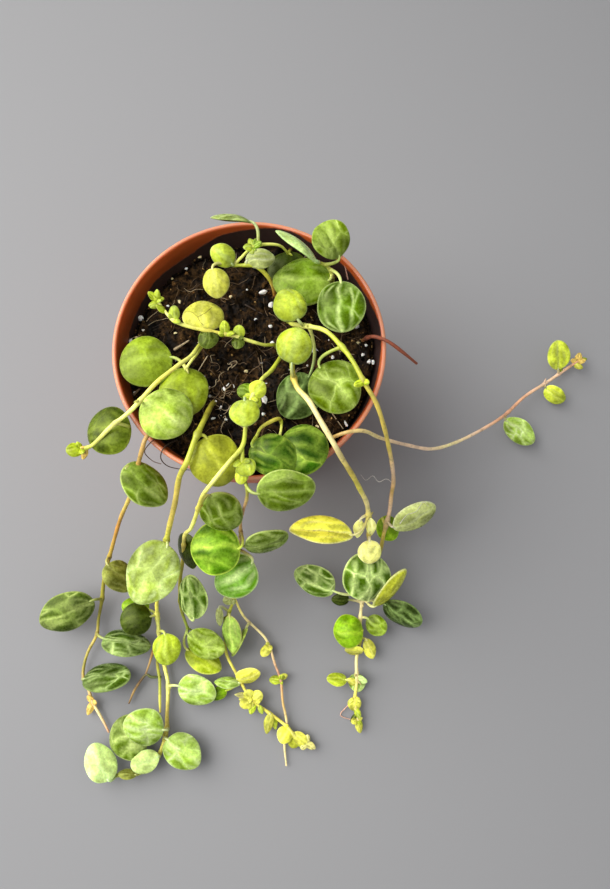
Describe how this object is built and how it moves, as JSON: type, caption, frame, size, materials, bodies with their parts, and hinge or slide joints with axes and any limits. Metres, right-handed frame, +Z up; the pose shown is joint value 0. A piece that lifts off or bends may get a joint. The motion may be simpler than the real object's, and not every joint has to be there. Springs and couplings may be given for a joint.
{
  "type": "potted peperomia",
  "caption": "Small trailing houseplant with round veined leaves in a tapered nursery pot of soil; leafy stems hang over the rim and lie along the surface below.",
  "frame": {"origin": "middle of the pot's flat underside, on the surface it stands on", "axes": "+Z up along the pot's axis; -Y to the front, where most of the stems hang over the rim; +X to the right, where one thin runner reaches out"},
  "size_m": [0.1463, 0.1275, 0.0625],
  "materials": {
    "pot_plastic": "thin moulded plastic, satin, orange-brown, with a paler lip",
    "potting_soil": "moist fibrous compost, black-brown, matt, with crumbs and thin roots",
    "perlite": "small rough white grains, matt",
    "foliage_lime": "fleshy young leaf, satin, yellow-green with faint paler veins",
    "foliage_green": "fleshy grown leaf, satin, mid green with pale veins and a pale edge",
    "foliage_dark": "fleshy grown leaf, satin, dark green with pale veins",
    "stem": "fleshy stem, satin, yellow-green turning tan and pinkish along its length",
    "dry_stalk": "dry thin stalk, matt, red-brown"
  },
  "bodies": {
    "root": {"pot": "pot_plastic", "soil": "potting_soil", "stem_left": "foliage_lime", "stem_back_left": "foliage_lime", "stem_back": "foliage_lime", "stem_back_right": "foliage_green", "stem_right": "foliage_green", "stem_front_right": "foliage_green", "stem_front": "foliage_green", "stem_front_left": "foliage_green", "stem_far_left": "foliage_dark", "leaf_pair": "foliage_dark", "runner_right": "foliage_lime", "dry_stalk": "dry_stalk"}
  },
  "joints": []
}
